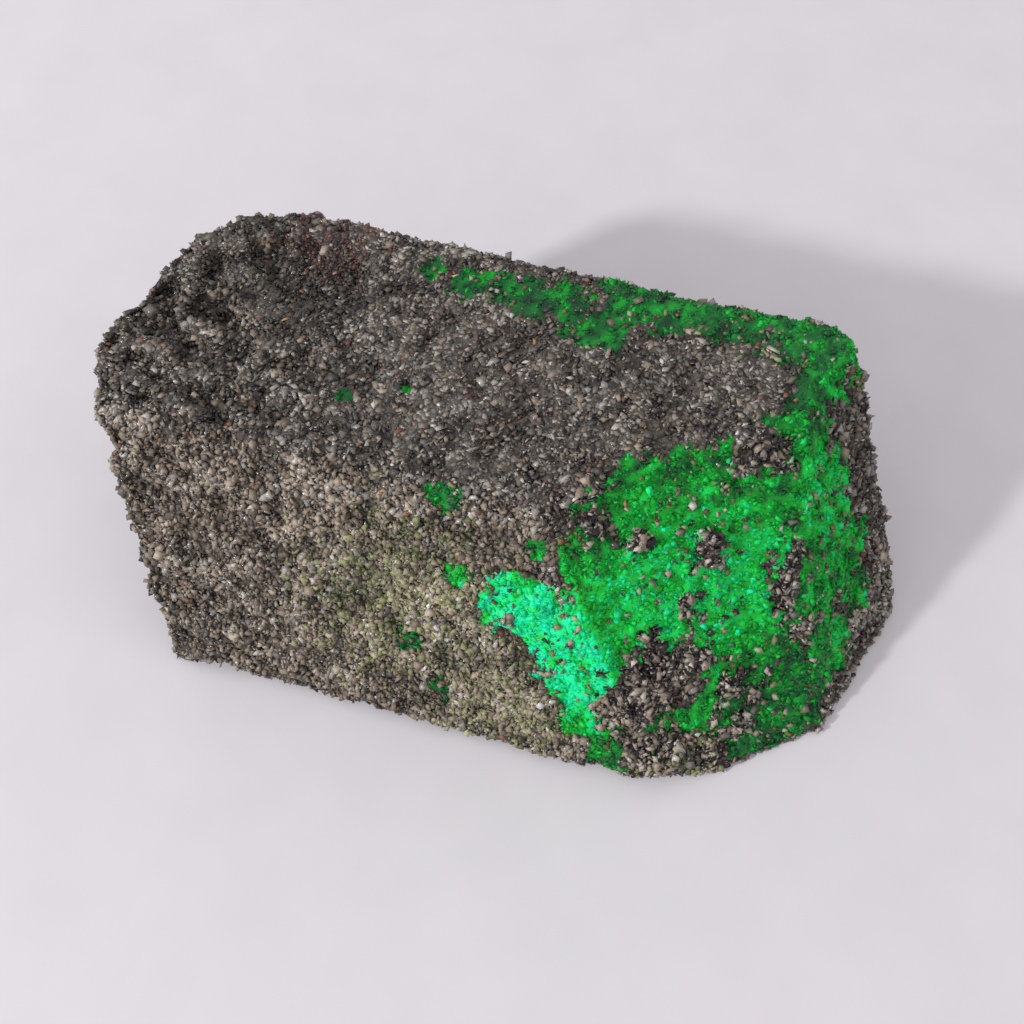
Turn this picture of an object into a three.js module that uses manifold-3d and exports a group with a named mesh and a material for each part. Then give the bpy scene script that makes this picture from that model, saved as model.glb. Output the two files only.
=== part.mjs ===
// A raw emerald crystal, crusted with mica and quartz grit, lying on one of its side faces.
// It is a hexagonal prism grown flat and wide, so neighbouring side faces still meet at 120 degrees.
// One end is closed by three broad, sloping faces. The other end is broken and overhangs.
// The solid is the outer surface of the crust: it reaches the tips of the grit.
// Millimetres. X runs along the crystal, Y across it and Z up. The origin is under the middle.

import * as THREE from 'three';
import { mergeVertices } from 'three/addons/utils/BufferGeometryUtils.js';
import Module from 'manifold-3d';

// Driving dimensions of the prism.
const TOP_WIDTH = 15;
const HEIGHT = 13.8;
const PRISM_LENGTH = 52;
const FRONT_FACE_HEIGHT = 13.2;
const BACK_FACE_HEIGHT = 7.8;
const FACE_SLOPE = THREE.MathUtils.degToRad(60);

// How far each long edge of the prism is rounded back by wear and crust.
const TOP_EDGE_ROUND = 1.3;
const SIDE_EDGE_ROUND = 0.7;
const FOOT_EDGE_ROUND = 0.25;
const ROUND_STEPS = 4;

// Cutting solids are larger than the crystal, so that each one takes off everything beyond its face.
const CUTTER = 90;

// Faces that close the ends. at is a point on the face, heading is the plan direction it looks in,
// counted in degrees from +X towards +Y, and rise is how far it looks upwards, in degrees.
const END_FACES = [
  { name: 'main slope', at: [4.05, -6.9, HEIGHT], heading: -52, rise: 41.4 },
  { name: 'end slope', at: [15, 1.73, HEIGHT], heading: -20.3, rise: 33.4 },
  { name: 'back corner', at: [16.9, 7, HEIGHT], heading: 46, rise: 0 },
  { name: 'nose', at: [22.8, 0.6, 2], heading: 14, rise: 12 },
  { name: 'broken front', at: [-20.3, -6.9, HEIGHT], heading: 201, rise: -2 },
  { name: 'broken middle', at: [-21.6, -3, HEIGHT], heading: 186, rise: -18 },
  { name: 'broken back', at: [-21.3, -1.8, HEIGHT], heading: 166, rise: -18 },
  { name: 'broken corner', at: [-19.8, 4, HEIGHT], heading: 136, rise: -8 },
  { name: 'sunken corner', at: [-14.6, 7.5, HEIGHT], heading: 112, rise: 66 },
  { name: 'front foot', at: [-16.2, -14.4, 0.6], heading: -163, rise: -30 },
  { name: 'worn corner', at: [12.6, -14.4, 0.3], heading: -68, rise: 12 },
];

// Worn bites in the broken end, each an ellipsoid: centre, half sizes, then its turn about Z.
const BITES = [
  { at: [-16.9, -0.2, HEIGHT + 0.5], half: [1.7, 1.1, 1.5], turn: 35 },
  { at: [-18.5, -4.7, HEIGHT + 0.6], half: [2.1, 0.9, 1.4], turn: -28 },
  { at: [-21.9, 0.4, HEIGHT - 0.6], half: [1.2, 1.9, 1.5], turn: 12 },
  { at: [-20.6, -5.6, HEIGHT - 4.4], half: [1.3, 1.6, 2.2], turn: 0 },
  { at: [-19.4, 5.9, HEIGHT - 4.2], half: [1.9, 1.5, 2.4], turn: -30 },
  { at: [-19.2, 0.6, HEIGHT - 8.1], half: [1.2, 3.4, 2.1], turn: 6 },
];
// A wide, shallow hollow in the top face, near the broken end.
const HOLLOW = { at: [-12.6, 3.7, HEIGHT + 1.75], half: [6.2, 3.7, 2.4], turn: -8 };
const ELLIPSOID_SIDES = 28;
const ELLIPSOID_RINGS = 16;

const wasm = await Module();
wasm.setup();

// A closed three.js geometry as a solid that can be joined and cut.
function solid(geometry) {
  const bare = geometry.clone();
  bare.deleteAttribute('normal');
  bare.deleteAttribute('uv');
  const merged = mergeVertices(bare, 1e-4);
  return new wasm.Manifold(new wasm.Mesh({
    numProp: 3,
    vertProperties: new Float32Array(merged.attributes.position.array),
    triVerts: new Uint32Array(merged.index.array),
  }));
}

function geometryOf(body) {
  const mesh = body.getMesh();
  const geometry = new THREE.BufferGeometry();
  geometry.setAttribute('position', new THREE.BufferAttribute(mesh.vertProperties, 3));
  geometry.setIndex(new THREE.BufferAttribute(mesh.triVerts, 1));
  return geometry;
}

// A closed outline with each corner rounded: the curve starts and ends at `round` from the corner.
function roundedOutline(corners) {
  const shape = new THREE.Shape();
  corners.forEach((corner, i) => {
    const before = corners[(i + corners.length - 1) % corners.length].at;
    const after = corners[(i + 1) % corners.length].at;
    const start = corner.at.clone().add(before.clone().sub(corner.at).setLength(corner.round));
    const end = corner.at.clone().add(after.clone().sub(corner.at).setLength(corner.round));
    if (i === 0) {
      shape.moveTo(start.x, start.y);
    } else {
      shape.lineTo(start.x, start.y);
    }
    shape.quadraticCurveTo(corner.at.x, corner.at.y, end.x, end.y);
  });
  shape.closePath();
  return shape;
}

// The prism's section, looking along it: across is Y and up is Z.
function prismSection() {
  const run = (drop) => drop / Math.tan(FACE_SLOPE);
  const half = TOP_WIDTH / 2;
  const frontY = -half - run(FRONT_FACE_HEIGHT);
  const frontZ = HEIGHT - FRONT_FACE_HEIGHT;
  const backY = half + run(BACK_FACE_HEIGHT);
  const backZ = HEIGHT - BACK_FACE_HEIGHT;
  return roundedOutline([
    { at: new THREE.Vector2(frontY, frontZ), round: FOOT_EDGE_ROUND },
    { at: new THREE.Vector2(frontY + run(frontZ), 0), round: FOOT_EDGE_ROUND },
    { at: new THREE.Vector2(backY - run(backZ), 0), round: SIDE_EDGE_ROUND },
    { at: new THREE.Vector2(backY, backZ), round: SIDE_EDGE_ROUND },
    { at: new THREE.Vector2(half, HEIGHT), round: SIDE_EDGE_ROUND },
    { at: new THREE.Vector2(-half, HEIGHT), round: TOP_EDGE_ROUND },
  ]);
}

function prism() {
  const geometry = new THREE.ExtrudeGeometry(prismSection(), {
    depth: PRISM_LENGTH,
    bevelEnabled: false,
    curveSegments: ROUND_STEPS,
  });
  geometry.translate(0, 0, -PRISM_LENGTH / 2);
  const alongX = new THREE.Matrix4().makeBasis(
    new THREE.Vector3(0, 1, 0),
    new THREE.Vector3(0, 0, 1),
    new THREE.Vector3(1, 0, 0),
  );
  return solid(geometry.applyMatrix4(alongX));
}

// Everything beyond one end face, as a large box.
function beyond({ at, heading, rise }) {
  const plan = THREE.MathUtils.degToRad(heading);
  const up = THREE.MathUtils.degToRad(rise);
  const outward = new THREE.Vector3(
    Math.cos(up) * Math.cos(plan),
    Math.cos(up) * Math.sin(plan),
    Math.sin(up),
  );
  const turn = new THREE.Quaternion().setFromUnitVectors(new THREE.Vector3(1, 0, 0), outward);
  const box = new THREE.BoxGeometry(CUTTER, CUTTER, CUTTER);
  box.translate(CUTTER / 2, 0, 0);
  box.applyQuaternion(turn);
  box.translate(...at);
  return solid(box);
}

function ellipsoid({ at, half, turn }) {
  const ball = new THREE.SphereGeometry(1, ELLIPSOID_SIDES, ELLIPSOID_RINGS);
  ball.scale(...half);
  ball.rotateZ(THREE.MathUtils.degToRad(turn));
  ball.translate(...at);
  return solid(ball);
}

function crystal() {
  let body = prism();
  for (const face of END_FACES) {
    body = body.subtract(beyond(face));
  }
  for (const dip of [...BITES, HOLLOW]) {
    body = body.subtract(ellipsoid(dip));
  }
  return body;
}

// Moves the geometry so that the origin is under the middle of its box, at the level it rests on.
function standOnOrigin(geometry) {
  geometry.computeBoundingBox();
  const box = geometry.boundingBox;
  const middle = box.getCenter(new THREE.Vector3());
  return geometry.translate(-middle.x, -middle.y, -box.min.z);
}

const crust = new THREE.MeshStandardMaterial({ color: 0x57514b, roughness: 0.8, metalness: 0 });
const geometry = standOnOrigin(geometryOf(crystal()));
geometry.computeVertexNormals();

const mesh = new THREE.Mesh(geometry, crust);
mesh.name = 'emerald_crystal';

const part = new THREE.Group();
part.add(mesh);

export default part;
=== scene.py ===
"""A raw emerald crystal whose faces are crusted with mica and quartz grit, bare and green in places.

All sizes below are in millimetres, and angles in degrees. The crystal's body is a fine mesh made from the
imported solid. It is worked into lumps and pits, so that the tips of the grit come to about the solid's faces.
The grit is several joined meshes of small grains, one mesh for each kind.
"""
import itertools
import math

import bpy
import numpy as np
from mathutils import Matrix, Vector


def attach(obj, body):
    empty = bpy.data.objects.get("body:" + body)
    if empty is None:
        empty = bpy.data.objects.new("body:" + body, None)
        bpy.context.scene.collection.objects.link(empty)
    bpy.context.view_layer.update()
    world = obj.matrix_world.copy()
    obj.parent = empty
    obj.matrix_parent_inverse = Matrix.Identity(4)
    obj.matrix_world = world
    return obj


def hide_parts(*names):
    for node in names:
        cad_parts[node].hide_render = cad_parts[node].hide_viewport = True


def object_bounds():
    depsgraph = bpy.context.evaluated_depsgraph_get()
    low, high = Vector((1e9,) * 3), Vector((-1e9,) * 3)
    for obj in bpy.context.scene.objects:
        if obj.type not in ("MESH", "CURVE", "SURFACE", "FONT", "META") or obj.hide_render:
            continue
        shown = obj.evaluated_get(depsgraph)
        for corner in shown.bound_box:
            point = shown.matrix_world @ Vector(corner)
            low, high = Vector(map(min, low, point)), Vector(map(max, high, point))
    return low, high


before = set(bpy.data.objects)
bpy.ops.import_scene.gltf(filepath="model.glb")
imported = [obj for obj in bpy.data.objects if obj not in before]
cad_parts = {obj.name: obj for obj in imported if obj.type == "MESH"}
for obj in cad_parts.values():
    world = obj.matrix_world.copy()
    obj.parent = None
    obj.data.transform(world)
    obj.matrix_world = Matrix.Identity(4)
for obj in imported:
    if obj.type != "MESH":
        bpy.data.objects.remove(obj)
cad_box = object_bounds()

MM = 0.001
NODE = "emerald_crystal"
BODY = "root"

# Where the crystal's faces look, and the level direction that runs across its end slope.
FRONT_FACE = (0.0, -0.87, 0.5)
MAIN_SLOPE = (0.46, -0.59, 0.66)
END_SLOPE = (0.78, -0.29, 0.55)
END_ACROSS = (0.35, 0.94, 0.0)
TOP = (0.0, 0.0, 1.0)

# The body's mesh: its grid, how deep each feature sinks the surface and how far each one raises it.
GRID = 0.25
SURFACE_RISE = 0.07
GAP_DEPTH = 0.5
DENT_DEPTH = 0.1
DENT_DEPTH_AT_END = 0.15
CRUMB_DEPTH = 0.7
END_RISE = 0.22
END_RISE_LOST_ON_TOP = 0.6
BARE_DEPTH = 0.1
BARE_DEPTH_ON_TOP = 0.15
BARE_WAVE = 0.2
CLUMP_RISE = 0.25

# How much smoother than the crust the bare faces and the hollow are.
CALM_WHERE_BARE = 0.7
CALM_IN_HOLLOW = 0.6

# The broken end starts at this X and is at its roughest one span further on.
ROUGH_END_X = -8.4
ROUGH_END_SPAN = 6.0

# At the ground the surface is worked by this share only, which grows this much for each millimetre up.
FOOT_SHARE = 0.6
FOOT_GAIN = 0.5

# What stands above the top's level is pressed towards it by this share.
TOP_LEVEL = cad_box[1][2] / MM + 0.08
TOP_PRESS = 0.65

# Noise repeats after this many lumps.
LATTICE = 61

# A surface looks the way of a face from the first cosine on, and wholly so once it has gained the second.
FACING_START = 0.9
FACING_SPAN = 0.08

# Layers of noise: the size of the lumps, the strength and the seed.
LUMP_NOISE = [(1.0, 0.42, 1), (0.5, 0.3, 2)]
LUMP_LEVEL = 0.62
WINDOW_NOISE = [(1.5, 0.22, 3), (0.6, 0.45, 4), (0.35, 0.3, 25)]
CLUMP_NOISE = [(0.9, 1.0, 5), (0.45, 1.2, 10)]
DENT_NOISE = [(2.8, 1.0, 6)]
CRUMB_NOISE = [(1.0, 1.0, 7)]
CRUMB_LEVEL = 0.4
CRUMBS_LOST_ON_FRONT = 0.5
BARE_NOISE = [(0.8, 1.0, 8)]
STAIN_NOISE = [(0.8, 1.0, 9)]
OLIVE_NOISE = [(1.5, 0.3, 26)]
GLOW_NOISE = [(1.8, 0.06, 21), (0.6, 0.2, 22), (0.3, 0.2, 23)]
TINT_NOISE = [(3.2, 0.12, 31), (1.1, 0.2, 32)]
PATCH_NOISE = [(0.9, 1.4, 33)]

# Streaks run down the end slope: they are this wide, and this much of the height counts.
STREAK_WIDTH = 0.45
STREAK_HEIGHT_SHARE = 0.2
STREAK_SEED = 24

# How steeply each kind of spot grows from its rim to its middle.
WINDOW_STEEPNESS = 1.4
CLUMP_STEEPNESS = 1.4
CLUMP_RISE_STEEPNESS = 3
HOLLOW_STEEPNESS = 2
GLOW_STEEPNESS = 1.6
OLIVE_STEEPNESS = 1.3
STAIN_STEEPNESS = 2

# Windows in the crust where the emerald is bare: middle x, y, z and radius.
FRONT_WINDOWS = [
    (1.1, -9.2, 8.2, 1.5),
    (1.9, -8.6, 9.2, 1.5),
    (2.7, -7.1, 11.7, 0.7),
    (3.2, -8.9, 8.6, 2.1),
    (5.0, -9.8, 7.0, 2.3),
    (6.0, -11.0, 4.9, 1.7),
    (6.6, -12.0, 3.2, 1.2),
    (8.2, -12.4, 2.3, 1.2),
    (-2.2, -6.2, 13.1, 0.9),
    (-1.2, -8.5, 9.4, 0.7),
    (-3.3, -10.9, 5.1, 0.8),
    (-1.2, -12.2, 2.8, 0.7),
]
MAIN_SLOPE_WINDOWS = [
    (6.8, -9.3, 7.6, 2.2),
    (7.2, -7.2, 9.2, 2.4),
    (5.6, -4.6, 12.9, 1.4),
    (5.6, -6.6, 10.6, 1.8),
    (7.1, -3.0, 13.0, 2.0),
    (9.2, -1.6, 12.8, 2.2),
    (8.4, -5.0, 10.3, 2.3),
    (10.2, -3.0, 10.8, 2.4),
    (12.3, -2.2, 10.1, 2.6),
    (13.2, -3.8, 8.0, 2.7),
    (11.0, -5.6, 8.0, 2.4),
    (9.2, -7.4, 7.5, 1.8),
    (14.2, -6.4, 5.0, 2.2),
    (12.4, -6.8, 5.8, 1.6),
    (13.9, -9.2, 2.7, 1.6),
    (11.3, -11.0, 2.8, 1.2),
    (8.5, -13.1, 1.2, 1.2),
    (11.2, -12.0, 2.1, 1.2),
    (15.8, -9.6, 1.0, 1.6),
]
END_WINDOWS = [
    (14.2, 0.2, 11.0, 1.9),
    (14.8, 2.8, 12.3, 1.7),
    (16.6, 2.8, 9.8, 1.4),
    (16.7, 0.6, 8.5, 1.9),
    (18.4, 1.0, 6.2, 1.6),
    (17.2, -2.0, 6.5, 2.0),
    (19.4, -0.6, 4.0, 1.4),
    (18.8, -3.7, 3.2, 1.7),
    (17.5, -6.6, 2.4, 2.2),
    (17.4, -8.2, 1.2, 1.3),
]
TOP_WINDOWS = [
    (-7.2, 7.2, 13.8, 0.9),
    (-4.6, 6.9, 13.8, 1.3),
    (-3.0, 6.9, 13.8, 1.3),
    (-1.4, 6.8, 13.8, 1.4),
    (0.2, 7.0, 13.8, 1.5),
    (1.8, 5.9, 13.8, 1.6),
    (3.3, 5.3, 13.8, 1.2),
    (3.7, 7.8, 13.8, 2.0),
    (5.3, 8.1, 13.8, 2.0),
    (7.2, 8.2, 13.8, 2.0),
    (8.9, 8.1, 13.8, 2.0),
    (10.8, 8.1, 13.8, 2.0),
    (12.6, 8.0, 13.8, 2.1),
    (14.5, 7.9, 13.8, 2.0),
    (15.4, 8.0, 13.8, 1.3),
    (14.7, 5.0, 13.5, 1.6),
    (14.0, 3.4, 13.8, 1.3),
    (13.2, 2.4, 13.6, 1.2),
    (-8.9, -2.1, 13.8, 0.5),
    (-6.1, -0.8, 13.8, 0.4),
]
WINDOWS = MAIN_SLOPE_WINDOWS + FRONT_WINDOWS + END_WINDOWS + TOP_WINDOWS

# How bare the crystal is: a base, what its two slopes add to it and what clumps of grit take away.
BARE_BASE = -0.1
BARE_ON_MAIN_SLOPE = 0.35
BARE_ON_END_SLOPE = 0.4
BARE_ALONG_STREAKS = 0.5
COVER_BY_CLUMPS = 1.8

# Clumps of dark grit that stand on the bare faces: middle and radius.
CLUMPS = [
    (5.0, -5.2, 12.4, 1.1),
    (7.5, -4.9, 11.0, 0.7),
    (10.9, -3.6, 9.8, 1.0),
    (10.8, -6.2, 7.5, 1.1),
    (15.4, -2.9, 7.2, 1.4),
    (9.7, -8.9, 5.9, 1.6),
    (9.5, -10.7, 4.4, 1.6),
    (11.6, -8.2, 5.4, 1.1),
    (14.2, -7.9, 3.7, 1.3),
    (12.4, 1.0, 12.8, 1.5),
    (20.6, 2.4, 3.6, 1.4),
    (11.0, -12.3, 1.8, 1.8),
    (14.2, -10.5, 1.2, 1.5),
]

# Where the crust is reddish, olive or sunk: middle and radius.
STAIN = (-13.0, 7.6, 13.8, 3.0)
OLIVE_SPOTS = [(-4.0, -9.6, 7.4, 7.0), (2.0, -12.6, 3.0, 5.0), (12.0, -13.0, 1.0, 4.0)]
HOLLOW = (-13.0, 4.4, 13.0, 4.2)

# The emerald's painted glow is its place from 0 to 1 along its greens: painted light and shade in its colour,
# brighter on faces that meet the lamp and where light comes through, darker on top and at the dim spot, with
# some random tone. A base and what each place adds to it.
GLOW_BASE = 0.31
GLOW_OF_BRIGHT_SPOTS = 0.29
GLOW_OF_BRIGHT_FRONT = 0.26
GLOW_OF_DIM_SPOT = -0.16
GLOW_OF_MAIN_SLOPE = 0.14
GLOW_OF_END_SLOPE = 0.1
GLOW_OF_STREAKS = 0.16
GLOW_OF_TOP = -0.04
GLOW_LIMIT = 0.7

# Where the emerald's painted glow is brightest: middle and radius.
PAINTED_GLOW_SPOTS = [
    (2.2, -9.4, 7.8, 5.0),
    (5.2, -10.2, 6.2, 6.0),
    (10.0, -6.0, 8.6, 5.5),
    (13.2, -4.0, 8.0, 4.5),
    (16.8, 2.6, 9.4, 3.6),
]

# Where its painted glow is least: a painted dim spot.
PAINTED_DIM_SPOT = (17.0, -8.0, 1.5, 5.5)

# The grit. A grain is an eight-sided block that lies on one of its sides: its corners go round it,
# by turns on its upper and its lower side.
GRAIN_REACH = 0.92
GRAIN_SIDE = 0.52
GRAIN_TURNS = [math.radians(60 * i) for i in range(6)]
GRAIN_TIPS = np.array([(GRAIN_REACH * math.cos(t), GRAIN_REACH * math.sin(t), GRAIN_SIDE * (-1) ** i)
                       for i, t in enumerate(GRAIN_TURNS)])
GRAIN_FACES = np.array([(0, 2, 4), (1, 5, 3), (0, 1, 2), (2, 3, 4),
                        (4, 5, 0), (1, 3, 2), (3, 5, 4), (5, 1, 0)])

# How grains vary: the spread of their sizes, how wide they are each way, how far each corner reaches and
# is shifted, and how high they lie.
SIZE_SPREAD = 0.38
SIDE_RANGE = (0.55, 1.35)
TIP_RANGE = (0.75, 1.2)
TIP_SHIFT = 0.2
LIFT_RANGE = (-0.25, 0.25)

# The underside, which is never seen, has only this share of its grains.
UNDERSIDE_SHARE = 0.3

# The tints of the crust's grains: what each place adds to how light they are. The lumps, the hollow and the
# crumbled end add painted shade: lighter on the lumps' tops, darker in the gaps, in the hollow and between
# crumbs.
PAINTED_SHADE_OF_LUMPS = 0.6
PAINTED_SHADE_MIDDLE_LUMP = 0.6
TINT_OF_FRONT = 0.02
TINT_OF_TOP = -0.11
PAINTED_SHADE_IN_HOLLOW = -0.5
PAINTED_SHADE_IN_CRUMBS = -0.3

# Colours from dark to light, from 0 to 255.
# The emerald's greens run from painted shade to painted glow.
PAINTED_GLOW_GREENS = [
    (0.05, (12, 54, 30)),
    (0.3, (2, 106, 38)),
    (0.5, (0, 158, 36)),
    (0.66, (0, 202, 60)),
    (0.8, (0, 230, 126)),
    (1.0, (6, 240, 166)),
]
EMERALD_DEPTH_COLOUR = (0.02, 0.8, 0.35, 1.0)
EMERALD_DEPTH_DENSITY = 150.0
FINE_GRIT_BROWNS = [(0.3, (46, 42, 38)), (0.5, (70, 65, 59)), (0.7, (98, 92, 84))]
MICA_BROWNS = [(30, 24, 27), (50, 43, 44), (72, 65, 62), (100, 93, 89)]
SAND_GREYS = [(46, 43, 40), (76, 72, 68), (106, 102, 97), (142, 138, 132)]
SAND_TANS = [(66, 57, 47), (96, 85, 73), (126, 113, 99), (160, 147, 131)]
QUARTZ_WHITES = [(0.0, (120, 114, 106)), (0.6, (180, 174, 165)), (1.0, (230, 226, 220))]
RUSTS = [(52, 33, 31), (84, 52, 46), (118, 78, 56), (150, 122, 76)]
FLAKE_BEIGES = [(84, 72, 66), (130, 117, 105), (170, 160, 147)]
SAND_OLIVES = [(48, 52, 34), (82, 86, 56), (116, 118, 82), (150, 148, 114)]

# The view, in millimetres and degrees.
VIEW_AZIMUTH = 15.79
VIEW_ELEVATION = 60.31
VIEW_DISTANCE = 63.65
VIEW_TARGET = (0.165, -2.62, 6.9)
VIEW_LENS = 40.43
SENSOR_WIDTH = 36.0
NEAR_CLIP = 1.0

# The light and the paper. Their colours are linear.
KEY_AZIMUTH = -47.0
KEY_ELEVATION = 28.0
KEY_DISTANCE = 500.0
KEY_SIZE = 35.0
KEY_POWER = 2.2
ROOM_COLOUR = (1.0, 0.985, 1.0, 1.0)
ROOM_STRENGTH = 1.0
FLOOR_HALF = 600.0
PAPER_PATCH = 6.0
PAPER_WHITES = [(0.3, (0.50, 0.482, 0.508, 1)), (0.7, (0.52, 0.502, 0.528, 1))]


# ---------------------------------------------------------------------------------------------- fields


def noise(points, size, seed):
    """A smooth random field from -1 to 1 with lumps about this size."""
    grid = np.random.default_rng(seed).random((LATTICE, LATTICE, LATTICE)) * 2 - 1
    place = points / size
    cell = np.floor(place).astype(int)
    part = place - cell
    part = part * part * (3 - 2 * part)
    total = np.zeros(len(points))
    for corner in itertools.product((0, 1), repeat=3):
        weight = np.where(corner, part, 1 - part).prod(axis=1)
        x, y, z = ((cell + corner) % LATTICE).T
        total += weight * grid[x, y, z]
    return total


def layered(points, layers):
    """Several layers of noise, added up."""
    return sum(strength * noise(points, size, seed) for size, strength, seed in layers)


def nearness(points, spots):
    """1 in the middle of the nearest spot, 0 at its rim and less outside."""
    best = np.full(len(points), -1.0)
    for x, y, z, radius in spots:
        away = np.linalg.norm(points - (x, y, z), axis=1)
        best = np.maximum(best, 1 - away / radius)
    return best


def facing(normals, way):
    """How far a surface looks one way: 1 where it does and 0 past about 25 degrees."""
    return np.clip((normals @ np.array(way) - FACING_START) / FACING_SPAN, 0, 1)


def relief(points):
    """The crust's small lumps, from 0 in the gaps to 1 on the tops."""
    return np.clip(LUMP_LEVEL + layered(points, LUMP_NOISE), 0, 1)


def rough_end(points):
    """1 at the broken end, 0 along the rest of the crystal."""
    return np.clip((ROUGH_END_X - points[:, 0]) / ROUGH_END_SPAN, 0, 1)


def streaks(points):
    """Streaks that run down the crystal's end slope, from -1 to 1."""
    across = points @ np.array(END_ACROSS)
    drawn_out = np.stack([across, np.zeros(len(points)), STREAK_HEIGHT_SHARE * points[:, 2]], axis=1)
    return noise(drawn_out, STREAK_WIDTH, STREAK_SEED)


def clumped(points):
    """1 inside a clump of dark grit and 0 outside, with a ragged rim."""
    return np.clip(CLUMP_STEEPNESS * nearness(points, CLUMPS) + layered(points, CLUMP_NOISE), 0, 1)


def hollowed(points):
    """1 in the hollow at the back of the broken end, 0 outside."""
    return np.clip(HOLLOW_STEEPNESS * nearness(points, [HOLLOW]), 0, 1)


def crumbs(points, normals):
    """Depth of the gaps between the lumps of the broken end, from 0 to 1."""
    gaps = np.clip(CRUMB_LEVEL - layered(points, CRUMB_NOISE), 0, 1)
    return rough_end(points) * gaps * (1 - CRUMBS_LOST_ON_FRONT * facing(normals, FRONT_FACE))


def bareness(points, normals):
    """Above 0 where the emerald is bare."""
    slopes = BARE_ON_MAIN_SLOPE * facing(normals, MAIN_SLOPE)
    slopes += facing(normals, END_SLOPE) * (BARE_ON_END_SLOPE + BARE_ALONG_STREAKS * streaks(points))
    windows = WINDOW_STEEPNESS * nearness(points, WINDOWS) + layered(points, WINDOW_NOISE)
    return windows + slopes + BARE_BASE - COVER_BY_CLUMPS * clumped(points)


def painted_glow(points, normals):
    """Painted glow: how bright the bare emerald's colour is made, from 0 to 1, as light comes out of the low
    front of the crystal; lighter on the faces that meet the lamp, darker on top and at the dim spot, with some
    random tone.
    """
    bright = np.clip(GLOW_STEEPNESS * nearness(points, PAINTED_GLOW_SPOTS), 0, 1)
    dim = np.clip(GLOW_STEEPNESS * nearness(points, [PAINTED_DIM_SPOT]), 0, 1)
    front = facing(normals, FRONT_FACE)
    light = GLOW_BASE + GLOW_OF_TOP * facing(normals, TOP)
    light += GLOW_OF_MAIN_SLOPE * facing(normals, MAIN_SLOPE)
    light += facing(normals, END_SLOPE) * (GLOW_OF_END_SLOPE + GLOW_OF_STREAKS * streaks(points))
    light += (GLOW_OF_BRIGHT_SPOTS + GLOW_OF_BRIGHT_FRONT * front) * bright + GLOW_OF_DIM_SPOT * dim
    light += layered(points, GLOW_NOISE)
    return np.clip(light, 0, GLOW_LIMIT + (1 - GLOW_LIMIT) * front)


# ---------------------------------------------------------------------------------------------- meshes


def fine_crystal():
    """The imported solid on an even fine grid: vertices, their normals and quads."""
    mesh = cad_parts[NODE].data.copy()
    mesh.transform(Matrix.Scale(1 / MM, 4))
    grid = bpy.data.objects.new("grid", mesh)
    bpy.context.collection.objects.link(grid)
    remesh = grid.modifiers.new("even", "REMESH")
    remesh.mode = "VOXEL"
    remesh.voxel_size = GRID
    fine = grid.evaluated_get(bpy.context.evaluated_depsgraph_get()).to_mesh()
    points = np.empty(len(fine.vertices) * 3)
    normals = np.empty(len(fine.vertices) * 3)
    quads = np.empty(len(fine.loops), dtype=int)
    fine.vertices.foreach_get("co", points)
    fine.vertices.foreach_get("normal", normals)
    fine.loops.foreach_get("vertex_index", quads)
    bpy.data.objects.remove(grid)
    return points.reshape(-1, 3), normals.reshape(-1, 3), quads.reshape(-1, 4)


def mesh_object(name, points, faces):
    """A new object of points in millimetres and faces that all have as many corners."""
    mesh = bpy.data.meshes.new(name)
    mesh.vertices.add(len(points))
    mesh.vertices.foreach_set("co", (points * MM).ravel())
    mesh.loops.add(faces.size)
    mesh.loops.foreach_set("vertex_index", faces.ravel())
    mesh.polygons.add(len(faces))
    mesh.polygons.foreach_set("loop_start", np.arange(0, faces.size, faces.shape[1]))
    mesh.update(calc_edges=True)
    mesh.validate()
    piece = bpy.data.objects.new(name, mesh)
    bpy.context.collection.objects.link(piece)
    return piece


def add_tint(piece, values):
    """Gives each of the piece's points the number that its material takes its colour from."""
    layer = piece.data.attributes.new("tint", "FLOAT", "POINT")
    layer.data.foreach_set("value", values)


def levelled(points):
    """Presses what stands above the top face towards it, and lifts what is below the ground."""
    over = np.maximum(points[:, 2] - TOP_LEVEL, 0)
    points[:, 2] = np.maximum(points[:, 2] - TOP_PRESS * over, 0)
    return points


def weathered(points, normals):
    """Gives the surface lumps, dents and a crumbled broken end, and sinks the bare faces a little."""
    bare = np.clip(3 * bareness(points, normals), 0, 1)
    end = rough_end(points)
    top = facing(normals, TOP)
    rough = np.clip(1 - CALM_WHERE_BARE * bare - CALM_IN_HOLLOW * hollowed(points), 0, 1)
    sink = GAP_DEPTH * (1 - relief(points)) * rough - SURFACE_RISE
    sink += (DENT_DEPTH + DENT_DEPTH_AT_END * end) * np.clip(layered(points, DENT_NOISE), 0, 1)
    end_rise = END_RISE * end * (1 - END_RISE_LOST_ON_TOP * top)
    sink += (CRUMB_DEPTH * crumbs(points, normals) - end_rise) * rough
    wave = BARE_WAVE * (1 - top) * layered(points, BARE_NOISE)
    sink += bare * (BARE_DEPTH + BARE_DEPTH_ON_TOP * top + wave)
    in_clump = np.clip(CLUMP_RISE_STEEPNESS * nearness(points, CLUMPS), 0, 1)
    sink -= CLUMP_RISE * clumped(points) * in_clump
    sink *= np.clip(FOOT_SHARE + FOOT_GAIN * points[:, 2], 0, 1)
    return points - normals * sink[:, None]


def build_body(points, normals, quads):
    """The crystal's body. Its faces are crusted or bare."""
    shape = weathered(points, normals)
    shape[:, 2] -= shape[:, 2].min()
    shape = levelled(shape)
    body = mesh_object("crystal_body", shape, quads)
    body.data.materials.append(crust_material())
    body.data.materials.append(emerald_material())
    middles = points[quads].mean(axis=1)
    ways = normals[quads].mean(axis=1)
    bare = (bareness(middles, ways) > 0).astype(np.int32)
    body.data.polygons.foreach_set("material_index", bare)
    body.data.polygons.foreach_set("use_smooth", np.ones(len(quads), dtype=bool))
    # The body's colour carries the painted glow.
    add_tint(body, painted_glow(points, normals))
    return body, shape


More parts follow.
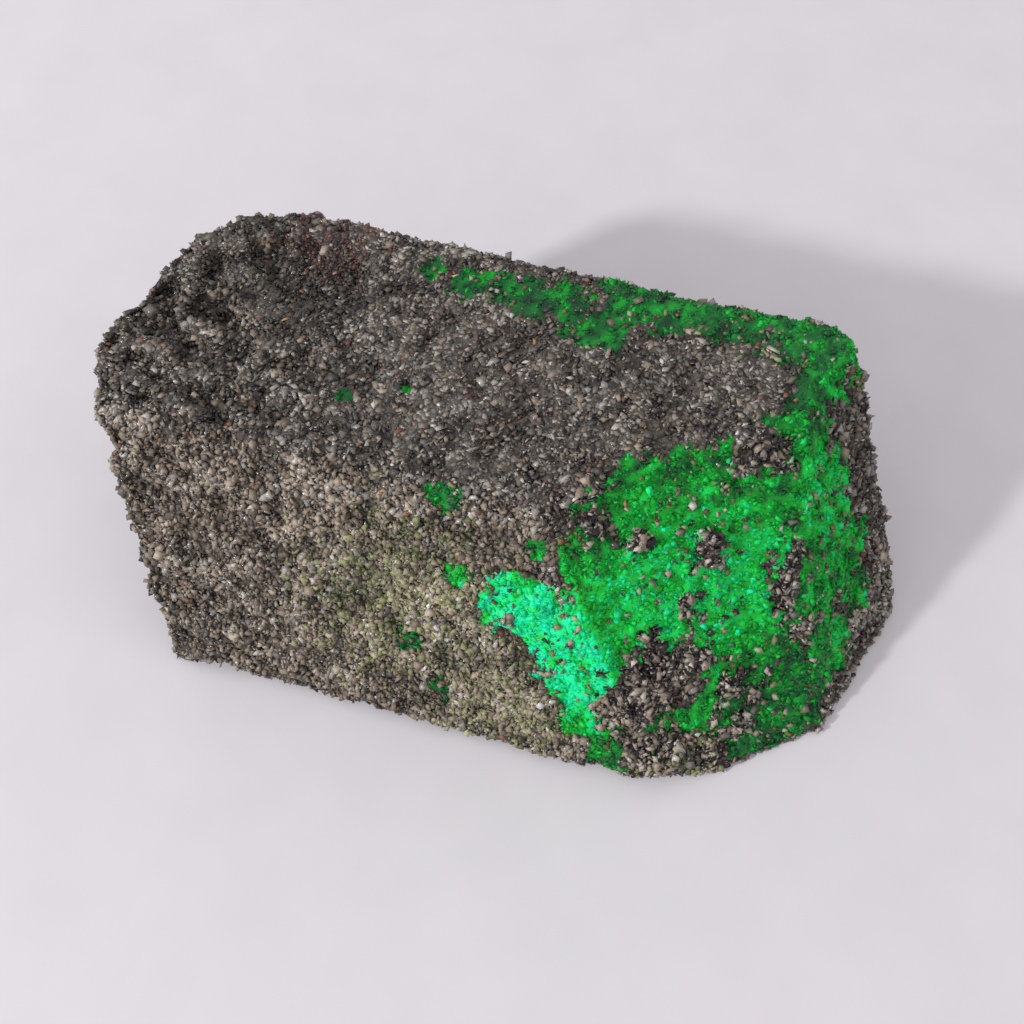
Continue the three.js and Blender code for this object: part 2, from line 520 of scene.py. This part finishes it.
class Ground:
    """The body's quads as a ground to scatter grains on."""

    def __init__(self, points, normals, quads, shape):
        self.corners = shape[quads]
        self.middles = points[quads].mean(axis=1)
        self.normals = normals[quads].mean(axis=1)
        self.normals /= np.linalg.norm(self.normals, axis=1)[:, None]
        across = np.cross(self.corners[:, 2] - self.corners[:, 0], self.corners[:, 3] - self.corners[:, 1])
        self.area = np.linalg.norm(across, axis=1) / 2
        self.bare = bareness(self.middles, self.normals)
        self.relief = relief(self.middles)
        self.painted_glow = painted_glow(self.middles, self.normals)
        self.front = facing(self.normals, FRONT_FACE)
        self.top = facing(self.normals, TOP)
        self.crumbs = crumbs(self.middles, self.normals)
        self.clump = clumped(self.middles)
        olive = OLIVE_STEEPNESS * nearness(self.middles, OLIVE_SPOTS) + layered(self.middles, OLIVE_NOISE)
        self.olive = np.clip(olive, 0, 1)
        self.hollow = hollowed(self.middles)
        stain = STAIN_STEEPNESS * nearness(self.middles, [STAIN]) + layered(self.middles, STAIN_NOISE)
        self.stain = np.clip(stain, 0, 1)
        self.seen = np.where(self.normals[:, 2] < -FACING_START, UNDERSIDE_SHARE, 1.0)
        self.crust = np.where(self.bare > 0, 0.0, 1.0)


def scatter(ground, density, count, seed):
    """Picks places for grains, as quads' numbers and points on them."""
    rng = np.random.default_rng(seed)
    weight = ground.area * ground.seen * density
    chosen = rng.choice(len(weight), size=count, p=weight / weight.sum())
    u, v = rng.random((2, count, 1))
    a, b, c, d = ground.corners[chosen].transpose(1, 0, 2)
    return chosen, (a * (1 - u) + b * u) * (1 - v) + (d * (1 - u) + c * u) * v, rng


def unit(vectors):
    """The same directions, each one long."""
    return vectors / np.linalg.norm(vectors, axis=1)[:, None]


def grain_blocks(rng, ups, size, flatness):
    """The corners of one block for each up direction, round its own middle, and the blocks' radii."""
    count = len(ups)
    side = unit(np.cross(ups, rng.normal(size=(count, 3))))
    axes = np.stack([side, np.cross(ups, side), ups], axis=1)
    radius = size / 2 * np.exp(SIZE_SPREAD * rng.normal(size=(count, 1)))
    radius = np.minimum(radius, size)
    halves = radius * rng.uniform(*SIDE_RANGE, (count, 3)) * (1, 1, flatness)
    corners = len(GRAIN_TIPS)
    tips = GRAIN_TIPS * rng.uniform(*TIP_RANGE, (count, corners, 1))
    tips += rng.uniform(-TIP_SHIFT, TIP_SHIFT, (count, corners, 3))
    return (tips * halves[:, None, :]) @ axes, radius


def grains(name, ground, density, count, seed, size, flatness, tilt, lift, tint, vary=0.24):
    """A joined mesh of grains: size is the middle diameter, flatness the thin side's share of it.

    tilt is how far grains turn away from lying flat, lift how many radii their middles stand above the
    ground, and tint their place along their material's colours, which varies from grain to grain.
    """
    chosen, places, rng = scatter(ground, density, count, seed)
    ups = unit(ground.normals[chosen] + tilt * rng.normal(size=(count, 3)))
    blocks, radius = grain_blocks(rng, ups, size, flatness)
    middles = places + ground.normals[chosen] * radius * (lift + rng.uniform(*LIFT_RANGE, (count, 1)))
    points = levelled((middles[:, None, :] + blocks).reshape(-1, 3))
    corners = len(GRAIN_TIPS)
    faces = (GRAIN_FACES[None] + corners * np.arange(count)[:, None, None]).reshape(-1, 3)
    piece = mesh_object(name, points, faces)
    tints = np.broadcast_to(tint, ground.area.shape)[chosen]
    shade = np.clip(tints + vary * rng.normal(size=count), 0, 1)
    add_tint(piece, np.repeat(shade, corners))
    return piece


# ------------------------------------------------------------------------------------------- materials


def srgb(red, green, blue):
    """A colour from 0 to 255 as the linear colour that a shader takes."""
    shares = [channel / 255 for channel in (red, green, blue)]
    linear = [((c + 0.055) / 1.055) ** 2.4 if c > 0.04045 else c / 12.92 for c in shares]
    return (*linear, 1.0)


def srgb_stops(stops):
    """Pairs of place and colour from 0 to 255, as a ramp takes them."""
    return [(place, srgb(*colour)) for place, colour in stops]


class Shader:
    """A new material with a Principled shader, and short ways to add its nodes."""

    def __init__(self, name):
        self.material = bpy.data.materials.new(name)
        self.material.use_nodes = True
        self.nodes = self.material.node_tree.nodes
        self.links = self.material.node_tree.links
        self.principled = self.nodes["Principled BSDF"]
        self.output = self.nodes["Material Output"]

    def set(self, **values):
        """Sets values straight on the Principled shader's sockets."""
        for name, value in values.items():
            self.principled.inputs[name.replace("_", " ")].default_value = value

    def link(self, source, target):
        self.links.new(source, target)

    def noise(self, size_mm, detail=2.0):
        """Noise over the object's own space, with lumps about this size."""
        place = self.nodes.new("ShaderNodeTexCoord")
        texture = self.nodes.new("ShaderNodeTexNoise")
        texture.inputs["Scale"].default_value = 1 / (size_mm * MM)
        texture.inputs["Detail"].default_value = detail
        texture.inputs["Roughness"].default_value = 0.6
        self.link(place.outputs["Object"], texture.inputs["Vector"])
        return texture.outputs["Fac"]

    def tint(self):
        """The number from 0 to 1 that each grain, or point of the body, has of its own."""
        attribute = self.nodes.new("ShaderNodeAttribute")
        attribute.attribute_name = "tint"
        return attribute.outputs["Fac"]

    def ramp(self, factor, stops):
        """Colours along a factor, from pairs of place and colour."""
        ramp = self.nodes.new("ShaderNodeValToRGB")
        while len(ramp.color_ramp.elements) < len(stops):
            ramp.color_ramp.elements.new(1.0)
        for element, (place, colour) in zip(ramp.color_ramp.elements, stops):
            element.position = place
            element.color = colour
        self.link(factor, ramp.inputs["Fac"])
        return ramp.outputs["Color"]

    def bump(self, height, depth_mm):
        """Bumps of this depth in the Principled shader's surface."""
        bump = self.nodes.new("ShaderNodeBump")
        bump.inputs["Strength"].default_value = 1.0
        bump.inputs["Distance"].default_value = depth_mm * MM
        self.link(height, bump.inputs["Height"])
        self.link(bump.outputs["Normal"], self.principled.inputs["Normal"])


def crust_material():
    """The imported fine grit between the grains."""
    shader = Shader("crust")
    colour = shader.ramp(shader.noise(size_mm=0.3, detail=3.0), srgb_stops(FINE_GRIT_BROWNS))
    shader.link(colour, shader.principled.inputs["Base Color"])
    shader.set(Roughness=0.85, IOR=1.4)
    shader.bump(shader.noise(size_mm=0.22, detail=3.0), depth_mm=0.15)
    return shader.material


def emerald_material():
    """Cloudy green emerald: part of the light goes through it, the rest scatters in it."""
    shader = Shader("emerald")
    # Its base colour carries the painted glow: painted light and shade in the green.
    colour = shader.ramp(shader.tint(), srgb_stops(PAINTED_GLOW_GREENS))
    shader.link(colour, shader.principled.inputs["Base Color"])
    shader.set(Roughness=0.45, IOR=1.58, Transmission_Weight=0.25, Specular_IOR_Level=0.1)
    shader.set(Subsurface_Weight=0.35, Subsurface_Radius=(0.1, 1.0, 0.5), Subsurface_Scale=0.8 * MM)
    shader.bump(shader.noise(size_mm=0.3, detail=3.0), depth_mm=0.06)
    absorption = shader.nodes.new("ShaderNodeVolumeAbsorption")
    absorption.inputs["Color"].default_value = EMERALD_DEPTH_COLOUR
    absorption.inputs["Density"].default_value = EMERALD_DEPTH_DENSITY
    shader.link(absorption.outputs["Volume"], shader.output.inputs["Volume"])
    return shader.material


def grit_material(name, colours, roughness):
    """Grains whose colours run evenly through a ramp, each grain at its own place on it."""
    shader = Shader(name)
    stops = srgb_stops((i / (len(colours) - 1), colour) for i, colour in enumerate(colours))
    shader.link(shader.ramp(shader.tint(), stops), shader.principled.inputs["Base Color"])
    shader.set(Roughness=roughness, IOR=1.45)
    return shader.material


def quartz_material():
    """Clear to milky quartz grains."""
    shader = Shader("quartz")
    colour = shader.ramp(shader.tint(), srgb_stops(QUARTZ_WHITES))
    shader.link(colour, shader.principled.inputs["Base Color"])
    shader.set(Roughness=0.15, IOR=1.54, Transmission_Weight=0.4)
    return shader.material


# --------------------------------------------------------------------------------------------- scene


def crust_tone_and_painted_shade(ground):
    """How much lighter, or below 0 darker, the crust's grains are from place to place: random tone, a little
    lighter on the front and darker on top, and painted shade, lighter on the lumps' tops and darker in the
    gaps, the hollow and the crumbled end.
    """
    shade = PAINTED_SHADE_OF_LUMPS * (ground.relief - PAINTED_SHADE_MIDDLE_LUMP) + layered(ground.middles, TINT_NOISE)
    shade += TINT_OF_FRONT * ground.front + TINT_OF_TOP * ground.top
    return shade + PAINTED_SHADE_IN_HOLLOW * ground.hollow + PAINTED_SHADE_IN_CRUMBS * ground.crumbs


def build_grit(ground, emerald):
    """All the grains, by kind: seven kinds in the crust, and green ones on the bare faces."""
    crust = ground.crust
    bare = 1 - crust
    # Painted shade and random tone for the crust's grains.
    shade = crust_tone_and_painted_shade(ground)
    # Sand lies mostly on the crust's lumps, and little of it in the clumps.
    sand = crust * (1 - 0.75 * ground.clump) * (0.25 + 1.1 * ground.relief)
    # Loose grains on the bare faces: most at the windows' rims, and in patches elsewhere.
    patches = np.clip(0.5 + layered(ground.middles, PATCH_NOISE), 0.1, 2)
    loose = bare * np.clip(0.9 - 1.6 * ground.bare, 0.16, 1) * patches
    pieces = []

    density = crust * (1.3 - 0.6 * ground.front) + 0.9 * loose + 5 * ground.clump
    mica = grains("mica_flakes", ground, density, count=21000, seed=11, size=0.32, flatness=0.35,
                  tilt=0.6, lift=0.1, tint=0.38 + shade - 0.4 * ground.clump)
    mica.data.materials.append(grit_material("mica", MICA_BROWNS, roughness=0.3))
    pieces.append(mica)

    density = sand * (1.2 - 0.6 * ground.front) + 0.15 * loose
    grey = grains("grey_grains", ground, density, count=23500, seed=12, size=0.3, flatness=0.6,
                  tilt=1.2, lift=0.25, tint=0.42 + shade)
    grey.data.materials.append(grit_material("grey_sand", SAND_GREYS, roughness=0.55))
    pieces.append(grey)

    density = sand * (0.5 + 1.2 * ground.front) + 0.3 * loose
    tan = grains("tan_grains", ground, density, count=21000, seed=13, size=0.3, flatness=0.65,
                 tilt=1.2, lift=0.25, tint=0.48 + shade, vary=0.2)
    tan.data.materials.append(grit_material("tan_sand", SAND_TANS, roughness=0.6))
    pieces.append(tan)

    density = sand * ground.relief + 0.06 * loose + 0.5 * ground.clump
    quartz = grains("quartz_grains", ground, density, count=10500, seed=14, size=0.3, flatness=0.55,
                    tilt=1.0, lift=0.35, tint=0.35 + shade)
    quartz.data.materials.append(quartz_material())
    pieces.append(quartz)

    density = crust * (0.1 + 4 * ground.stain) + 0.7 * loose
    rust = grains("rust_grains", ground, density, count=3200, seed=15, size=0.24, flatness=0.8,
                  tilt=1.5, lift=0.2, tint=0.4 - 0.3 * ground.stain)
    rust.data.materials.append(grit_material("rust", RUSTS, roughness=0.6))
    pieces.append(rust)

    density = 4 * ground.clump + 0.6 * loose + 0.06 * crust
    flakes = grains("pale_flakes", ground, density, count=1400, seed=17, size=0.34, flatness=0.5,
                    tilt=0.8, lift=0.3, tint=0.5)
    flakes.data.materials.append(grit_material("pale_flakes", FLAKE_BEIGES, roughness=0.5))
    pieces.append(flakes)

    density = sand * ground.olive + 0.1 * loose
    olive = grains("olive_grains", ground, density, count=5000, seed=18, size=0.27, flatness=0.8,
                   tilt=1.5, lift=0.25, tint=0.48 + shade, vary=0.2)
    olive.data.materials.append(grit_material("olive_sand", SAND_OLIVES, roughness=0.6))
    pieces.append(olive)

    # The green grains take the body's painted glow as their colour.
    density = bare * (1 - 0.6 * ground.top)
    sugar = grains("emerald_grains", ground, density, count=12500, seed=16, size=0.32, flatness=0.55,
                   tilt=0.6, lift=-0.25, tint=ground.painted_glow, vary=0.09)
    sugar.data.polygons.foreach_set("use_smooth", np.ones(len(sugar.data.polygons), dtype=bool))
    sugar.data.materials.append(emerald)
    pieces.append(sugar)
    return pieces


def build_floor():
    """A plain pale floor."""
    corners = np.array([(-1, -1, 0), (1, -1, 0), (1, 1, 0), (-1, 1, 0)])
    floor = mesh_object("floor", FLOOR_HALF * corners, np.array([(0, 1, 2, 3)]))
    shader = Shader("paper")
    colour = shader.ramp(shader.noise(PAPER_PATCH), PAPER_WHITES)
    shader.link(colour, shader.principled.inputs["Base Color"])
    shader.set(Roughness=0.9)
    floor.data.materials.append(shader.material)


def direction(azimuth, elevation):
    """The way from the crystal: azimuth 0 is towards -Y, and it grows towards +X."""
    flat = math.cos(math.radians(elevation))
    turn = math.radians(azimuth)
    return Vector((flat * math.sin(turn), -flat * math.cos(turn), math.sin(math.radians(elevation))))


def add_light(name, azimuth, elevation, distance, size, power):
    """A square area light that looks at the crystal."""
    light = bpy.data.lights.new(name, "AREA")
    light.size = size * MM
    light.energy = power
    lamp = bpy.data.objects.new(name, light)
    way = direction(azimuth, elevation)
    lamp.location = way * distance * MM
    lamp.rotation_euler = way.to_track_quat("Z", "Y").to_euler()
    bpy.context.collection.objects.link(lamp)


def build_light():
    """One soft key light from the front left and an even pale room."""
    add_light("key", KEY_AZIMUTH, KEY_ELEVATION, KEY_DISTANCE, KEY_SIZE, KEY_POWER)
    world = bpy.data.worlds.new("room")
    world.use_nodes = True
    background = world.node_tree.nodes["Background"]
    background.inputs["Color"].default_value = ROOM_COLOUR
    background.inputs["Strength"].default_value = ROOM_STRENGTH
    bpy.context.scene.world = world


def build_camera():
    """The photograph's view."""
    data = bpy.data.cameras.new("camera")
    data.lens = VIEW_LENS
    data.sensor_width = SENSOR_WIDTH
    data.clip_start = NEAR_CLIP * MM
    camera = bpy.data.objects.new("camera", data)
    back = direction(VIEW_AZIMUTH, VIEW_ELEVATION) * VIEW_DISTANCE
    camera.location = (Vector(VIEW_TARGET) + back) * MM
    camera.rotation_euler = (math.radians(90 - VIEW_ELEVATION), 0, math.radians(VIEW_AZIMUTH))
    bpy.context.collection.objects.link(camera)
    bpy.context.scene.camera = camera


build_camera()
build_light()
build_floor()
points, normals, quads = fine_crystal()
body, shape = build_body(points, normals, quads)
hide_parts(NODE)
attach(body, BODY)
emerald = body.data.materials[1]
for piece in build_grit(Ground(points, normals, quads, shape), emerald):
    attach(piece, BODY)
bpy.context.scene.view_settings.view_transform = "Standard"
